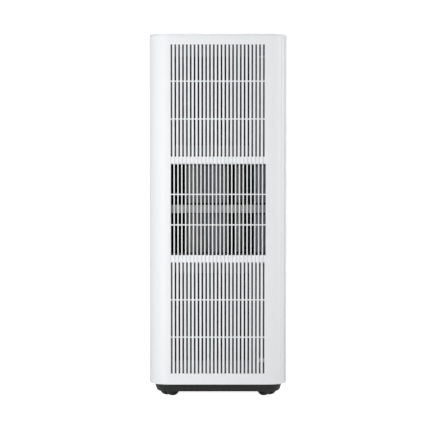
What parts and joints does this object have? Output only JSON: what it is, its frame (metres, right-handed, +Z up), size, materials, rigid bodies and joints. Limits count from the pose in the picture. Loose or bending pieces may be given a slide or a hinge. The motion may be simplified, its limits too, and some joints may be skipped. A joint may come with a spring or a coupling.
{
  "type": "portable air conditioner",
  "caption": "Upright portable air conditioner: rounded white cabinet, full-height slotted intake grille, front outlet flap, rear exhaust collar and twin-wheel casters.",
  "frame": {"origin": "on the floor under the middle of the cabinet's bounding box", "axes": "+Z up along the cabinet's height, the air outlet side faces -Y, the removable intake side with the grille faces -X"},
  "size_m": [0.35, 0.29, 0.7615],
  "materials": {
    "white_abs": "satin moulded ABS",
    "charcoal_abs": "satin moulded ABS",
    "dark_plastic": "moulded ABS",
    "duct_plastic": "moulded polypropylene",
    "rib_plastic": "moulded ABS",
    "filter_plastic": "moulded polypropylene",
    "filter_mesh": "woven nylon net",
    "black_nylon": "moulded nylon",
    "wheel_nylon": "moulded nylon tread",
    "button_plastic": "satin moulded ABS",
    "display_lens": "polished smoked acrylic",
    "aluminium_fins": "stamped fin stock",
    "zinc_steel": "zinc-plated pressed steel",
    "compressor_enamel": "black enamelled steel",
    "copper_pipe": "drawn copper tube",
    "control_box_abs": "moulded flame-retardant ABS"
  },
  "bodies": {
    "cabinet": {"base_tray": "charcoal_abs", "left_side_shell": "white_abs", "rear_panel": "white_abs", "top_cover": "white_abs", "front_frame": "white_abs", "front_plate": "white_abs", "control_panel": "dark_plastic", "display_window": "display_lens", "filter_bay_frame": "dark_plastic", "cross_rib": "rib_plastic", "window_air_guide": "dark_plastic", "evaporator_coil": "aluminium_fins", "condenser_coil": "aluminium_fins", "upper_scroll_housing": "duct_plastic", "lower_scroll_housing": "duct_plastic", "upper_fan_motor": "zinc_steel", "lower_fan_motor": "zinc_steel", "compressor": "compressor_enamel", "accumulator": "compressor_enamel", "suction_pipe": "copper_pipe", "discharge_pipe": "copper_pipe", "exhaust_duct": "duct_plastic", "exhaust_collar": "white_abs", "outlet_duct": "dark_plastic", "swing_motor": "dark_plastic", "drain_pan": "duct_plastic", "control_box": "control_box_abs", "cable_gland": "black_nylon"},
    "side_cover": {"side_grille_cover": "white_abs", "upper_filter_frame": "filter_plastic", "upper_filter_mesh": "filter_mesh", "lower_filter_frame": "filter_plastic", "lower_filter_mesh": "filter_mesh"},
    "upper_fan": {"upper_fan_wheel": "black_nylon"},
    "lower_fan": {"lower_fan_wheel": "black_nylon"},
    "flap": {"outlet_flap": "white_abs"},
    "vane_1": {"swing_vane_1": "dark_plastic"},
    "vane_2": {"swing_vane_2": "dark_plastic"},
    "vane_3": {"swing_vane_3": "dark_plastic"},
    "vane_4": {"swing_vane_4": "dark_plastic"},
    "link_bar": {"vane_link": "dark_plastic"},
    "power_key": {"button_power": "button_plastic"},
    "mode_key": {"button_mode": "button_plastic"},
    "speed_key": {"button_speed": "button_plastic"},
    "timer_key": {"button_timer": "button_plastic"},
    "caster_front_left": {"caster_fork_front_left": "black_nylon"},
    "wheel_front_left_a": {"caster_wheel_front_left_a": "wheel_nylon"},
    "wheel_front_left_b": {"caster_wheel_front_left_b": "wheel_nylon"},
    "caster_front_right": {"caster_fork_front_right": "black_nylon"},
    "wheel_front_right_a": {"caster_wheel_front_right_a": "wheel_nylon"},
    "wheel_front_right_b": {"caster_wheel_front_right_b": "wheel_nylon"},
    "caster_rear_left": {"caster_fork_rear_left": "black_nylon"},
    "wheel_rear_left_a": {"caster_wheel_rear_left_a": "wheel_nylon"},
    "wheel_rear_left_b": {"caster_wheel_rear_left_b": "wheel_nylon"},
    "caster_rear_right": {"caster_fork_rear_right": "black_nylon"},
    "wheel_rear_right_a": {"caster_wheel_rear_right_a": "wheel_nylon"},
    "wheel_rear_right_b": {"caster_wheel_rear_right_b": "wheel_nylon"},
    "upper_plug": {"drain_plug_upper": "button_plastic"},
    "lower_plug": {"drain_plug_lower": "button_plastic"}
  },
  "joints": [
    {"name": "side_cover_slide", "type": "slide", "parent": "cabinet", "child": "side_cover", "axis": [-1, 0, 0], "range_m": [0, 0.1]},
    {"name": "upper_fan_spin", "type": "hinge", "parent": "cabinet", "child": "upper_fan", "pos_m": [0.005, 0.02, 0.6105], "axis": [1, 0, 0], "continuous": true},
    {"name": "lower_fan_spin", "type": "hinge", "parent": "cabinet", "child": "lower_fan", "pos_m": [0.005, 0, 0.165], "axis": [1, 0, 0], "continuous": true},
    {"name": "outlet_flap_hinge", "type": "hinge", "parent": "cabinet", "child": "flap", "pos_m": [0, -0.1425, 0.658], "axis": [1, 0, 0], "range_deg": [0, 75]},
    {"name": "swing_vane_1_turn", "type": "hinge", "parent": "cabinet", "child": "vane_1", "pos_m": [-0.0825, -0.116, 0.685], "axis": [0, 0, 1], "range_deg": [-35, 35]},
    {"name": "swing_vane_2_turn", "type": "hinge", "parent": "cabinet", "child": "vane_2", "pos_m": [-0.0275, -0.116, 0.685], "axis": [0, 0, 1], "range_deg": [-35, 35]},
    {"name": "swing_vane_3_turn", "type": "hinge", "parent": "cabinet", "child": "vane_3", "pos_m": [0.0275, -0.116, 0.685], "axis": [0, 0, 1], "range_deg": [-35, 35]},
    {"name": "swing_vane_4_turn", "type": "hinge", "parent": "cabinet", "child": "vane_4", "pos_m": [0.0825, -0.116, 0.685], "axis": [0, 0, 1], "range_deg": [-35, 35]},
    {"name": "vane_link_slide", "type": "slide", "parent": "cabinet", "child": "link_bar", "axis": [1, 0, 0], "range_m": [-0.0067, 0.0067]},
    {"name": "button_power_press", "type": "slide", "parent": "cabinet", "child": "power_key", "axis": [0, 0, -1], "range_m": [0, 0.001], "stiffness_N_per_m": 1000},
    {"name": "button_mode_press", "type": "slide", "parent": "cabinet", "child": "mode_key", "axis": [0, 0, -1], "range_m": [0, 0.001], "stiffness_N_per_m": 1000},
    {"name": "button_speed_press", "type": "slide", "parent": "cabinet", "child": "speed_key", "axis": [0, 0, -1], "range_m": [0, 0.001], "stiffness_N_per_m": 1000},
    {"name": "button_timer_press", "type": "slide", "parent": "cabinet", "child": "timer_key", "axis": [0, 0, -1], "range_m": [0, 0.001], "stiffness_N_per_m": 1000},
    {"name": "front_left_swivel", "type": "hinge", "parent": "cabinet", "child": "caster_front_left", "pos_m": [0.122, -0.094, 0.049], "axis": [0, 0, 1], "continuous": true},
    {"name": "front_left_roll_a", "type": "hinge", "parent": "caster_front_left", "child": "wheel_front_left_a", "pos_m": [0.12412, -0.10885, 0.01778], "axis": [0.7071, 0.7071, 0], "continuous": true},
    {"name": "front_left_roll_b", "type": "hinge", "parent": "caster_front_left", "child": "wheel_front_left_b", "pos_m": [0.13685, -0.09612, 0.01778], "axis": [0.7071, 0.7071, 0], "continuous": true},
    {"name": "front_right_swivel", "type": "hinge", "parent": "cabinet", "child": "caster_front_right", "pos_m": [-0.122, -0.094, 0.049], "axis": [0, 0, 1], "continuous": true},
    {"name": "front_right_roll_a", "type": "hinge", "parent": "caster_front_right", "child": "wheel_front_right_a", "pos_m": [-0.13685, -0.09612, 0.01778], "axis": [0.7071, -0.7071, 0], "continuous": true},
    {"name": "front_right_roll_b", "type": "hinge", "parent": "caster_front_right", "child": "wheel_front_right_b", "pos_m": [-0.12412, -0.10885, 0.01778], "axis": [0.7071, -0.7071, 0], "continuous": true},
    {"name": "rear_left_swivel", "type": "hinge", "parent": "cabinet", "child": "caster_rear_left", "pos_m": [0.122, 0.094, 0.049], "axis": [0, 0, 1], "continuous": true},
    {"name": "rear_left_roll_a", "type": "hinge", "parent": "caster_rear_left", "child": "wheel_rear_left_a", "pos_m": [0.13685, 0.09612, 0.01778], "axis": [-0.7071, 0.7071, 0], "continuous": true},
    {"name": "rear_left_roll_b", "type": "hinge", "parent": "caster_rear_left", "child": "wheel_rear_left_b", "pos_m": [0.12412, 0.10885, 0.01778], "axis": [-0.7071, 0.7071, 0], "continuous": true},
    {"name": "rear_right_swivel", "type": "hinge", "parent": "cabinet", "child": "caster_rear_right", "pos_m": [-0.122, 0.094, 0.049], "axis": [0, 0, 1], "continuous": true},
    {"name": "rear_right_roll_a", "type": "hinge", "parent": "caster_rear_right", "child": "wheel_rear_right_a", "pos_m": [-0.12412, 0.10885, 0.01778], "axis": [-0.7071, -0.7071, 0], "continuous": true},
    {"name": "rear_right_roll_b", "type": "hinge", "parent": "caster_rear_right", "child": "wheel_rear_right_b", "pos_m": [-0.13685, 0.09612, 0.01778], "axis": [-0.7071, -0.7071, 0], "continuous": true},
    {"name": "upper_drain_plug_pull", "type": "slide", "parent": "cabinet", "child": "upper_plug", "axis": [0, 1, 0], "range_m": [0, 0.03]},
    {"name": "lower_drain_plug_pull", "type": "slide", "parent": "cabinet", "child": "lower_plug", "axis": [0, 1, 0], "range_m": [0, 0.03]}
  ],
  "couplings": [
    {"joint": "swing_vane_1_turn", "follows": "vane_link_slide", "rad_per_m": -90.909},
    {"joint": "swing_vane_2_turn", "follows": "vane_link_slide", "rad_per_m": -90.909},
    {"joint": "swing_vane_3_turn", "follows": "vane_link_slide", "rad_per_m": -90.909},
    {"joint": "swing_vane_4_turn", "follows": "vane_link_slide", "rad_per_m": -90.909}
  ]
}
